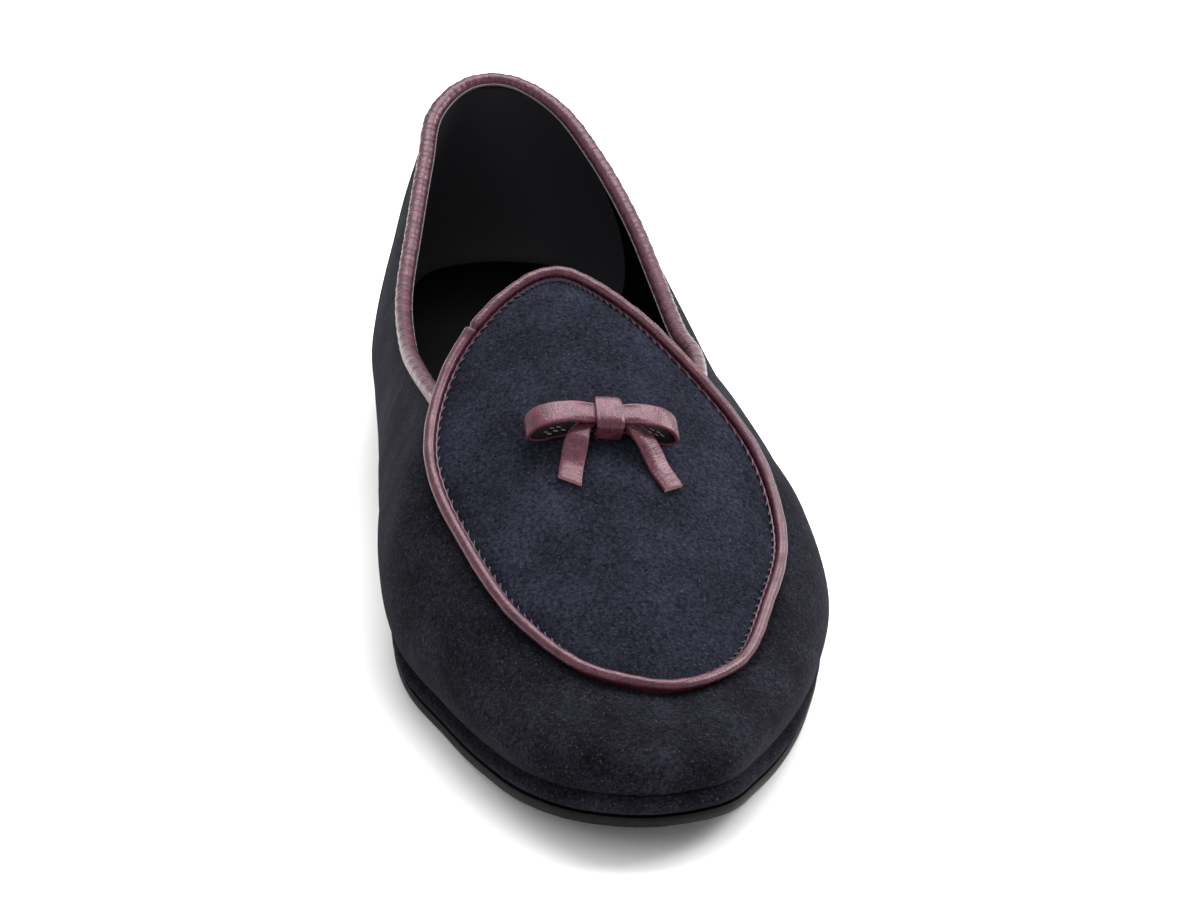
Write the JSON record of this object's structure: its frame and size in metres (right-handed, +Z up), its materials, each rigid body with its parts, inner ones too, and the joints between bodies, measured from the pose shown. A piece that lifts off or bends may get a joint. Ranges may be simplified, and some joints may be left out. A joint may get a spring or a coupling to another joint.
{
  "type": "slipper loafer",
  "caption": "Low slipper loafer for the left foot: hollow upper with a piped egg-shaped plug, free tongue and small bow, on a wrapped midsole, thin sole and low heel.",
  "frame": {"origin": "the middle of the heel's flat ground face, on the floor", "axes": "+X to the outer side of the left foot, +Y to the back of the shoe so that the toe points to -Y, +Z up"},
  "size_m": [0.1035, 0.2913, 0.0784],
  "materials": {
    "suede": "dark navy brushed suede",
    "plug_suede": "dark navy brushed suede, a little bluer",
    "trim_leather": "smooth burgundy leather, satin",
    "sole_leather": "black dyed sole leather",
    "lining_leather": "black lining leather, satin"
  },
  "bodies": {
    "root": {"outsole": "sole_leather", "heel": "sole_leather", "midsole": "suede", "insole": "lining_leather", "upper": "suede", "plug": "plug_suede", "plug_piping": "trim_leather", "topline_binding": "trim_leather", "bow_loops": "trim_leather", "bow_tails": "trim_leather", "bow_knot": "trim_leather"}
  },
  "joints": []
}
